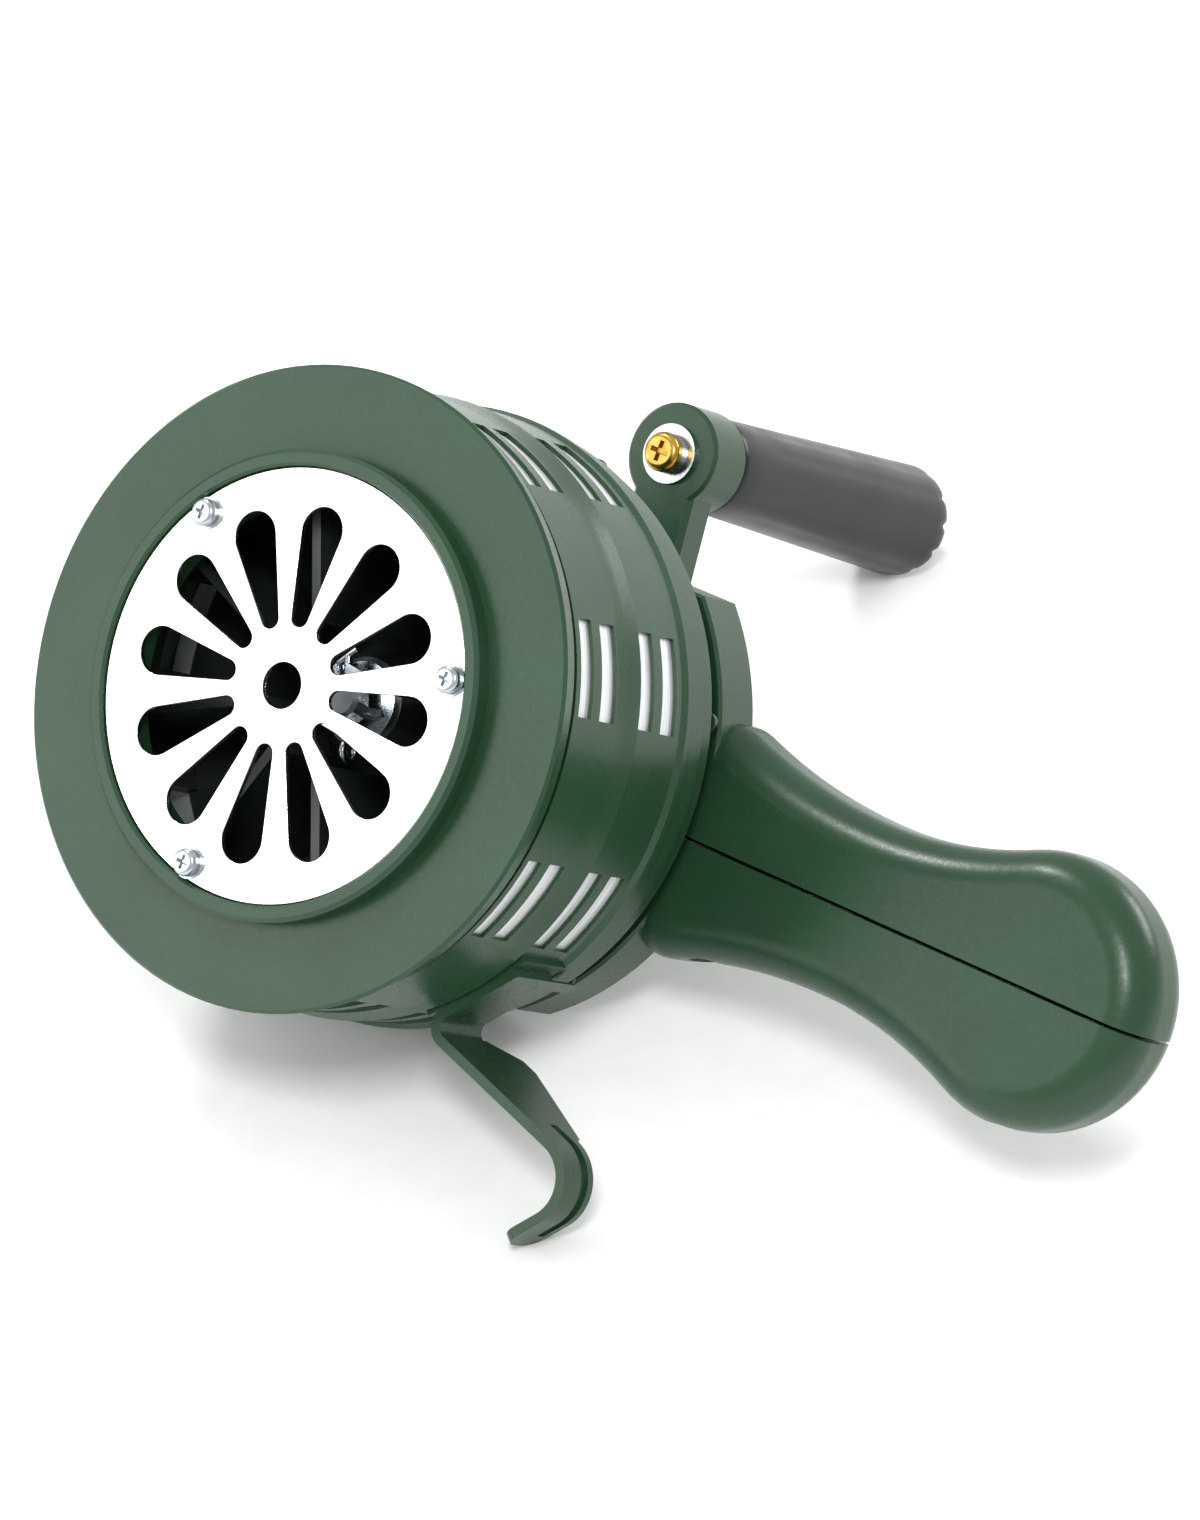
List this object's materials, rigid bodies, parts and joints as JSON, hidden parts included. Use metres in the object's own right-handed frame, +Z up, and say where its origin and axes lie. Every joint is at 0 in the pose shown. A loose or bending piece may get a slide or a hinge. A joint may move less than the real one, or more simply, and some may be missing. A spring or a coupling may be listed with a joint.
{
  "type": "hand-cranked siren",
  "caption": "Hand-cranked siren: slotted round drum with a perforated mouth plate, pistol handle, geared crank with a spinning grip, and a belt hook.",
  "frame": {"origin": "centre of the bounding box on the table that the siren lies on", "axes": "+Z up from the table; the drum axis runs level towards +Y and down at 40 degrees, so the mouth looks up and towards -Y; the handle points along +X and the crank stands at the far +Y side"},
  "size_m": [0.226, 0.2356, 0.1326],
  "materials": {
    "green_paint": "satin enamel on cast aluminium",
    "bright_plate": "bright zinc plated sheet",
    "zinc_plate": "clear zinc plated",
    "machined_steel": "machined",
    "bronze": "sintered bronze",
    "yellow_zinc": "yellow zinc plated",
    "cast_aluminium": "turned casting",
    "black_grip": "satin moulded"
  },
  "bodies": {
    "root": {"drum_housing": "green_paint", "mouth_grille": "bright_plate", "grille_washers": "zinc_plate", "grille_screws": "zinc_plate", "bearing_plate": "green_paint", "plate_screws": "green_paint", "bearing_outer_rings": "machined_steel", "bearing_balls": "machined_steel", "bearing_clip": "machined_steel", "case_half_left": "green_paint", "case_half_right": "green_paint", "case_screws": "zinc_plate", "handle_screws": "zinc_plate", "gear_cover": "green_paint", "cover_screws": "zinc_plate", "crank_bushes": "bronze", "idler_pin": "machined_steel", "belt_hook": "green_paint", "hook_rivets": "green_paint"},
    "rotor": {"rotor": "cast_aluminium", "rotor_shaft": "machined_steel", "castle_nut": "zinc_plate", "rotor_washer": "zinc_plate", "cotter_pin": "zinc_plate", "rotor_pinion": "machined_steel", "bearing_inner_rings": "machined_steel", "bearing_spacer": "machined_steel"},
    "idler": {"idler_gear": "machined_steel", "idler_pinion": "machined_steel", "idler_bush": "bronze"},
    "crank": {"crank_gear": "machined_steel", "crank_shaft": "machined_steel", "crank_arm": "green_paint", "crank_roll_pin": "machined_steel", "crank_washer": "zinc_plate", "crank_nut": "zinc_plate", "grip_spindle": "machined_steel", "grip_flat_washer": "zinc_plate", "grip_spring_washer": "zinc_plate", "grip_screw": "yellow_zinc"},
    "grip": {"crank_grip": "black_grip", "grip_cap": "black_grip"}
  },
  "joints": [
    {"name": "crank_turn", "type": "hinge", "parent": "root", "child": "crank", "pos_m": [-0.04539, -0.02562, 0.03758], "axis": [0, 0.7666, -0.6421], "continuous": true},
    {"name": "idler_spin", "type": "hinge", "parent": "root", "child": "idler", "pos_m": [-0.07894, -0.02832, 0.03763], "axis": [0, 0.7666, -0.6421], "continuous": true},
    {"name": "rotor_spin", "type": "hinge", "parent": "root", "child": "rotor", "pos_m": [-0.05049, -0.03819, 0.0517], "axis": [0, 0.7666, -0.6421], "continuous": true},
    {"name": "grip_spin", "type": "hinge", "parent": "crank", "child": "grip", "pos_m": [-0.05666, 0.07711, 0.03673], "axis": [0, 0.7666, -0.6421], "continuous": true}
  ],
  "couplings": [
    {"joint": "idler_spin", "follows": "crank_turn", "ratio": -6},
    {"joint": "rotor_spin", "follows": "crank_turn", "ratio": 30}
  ]
}
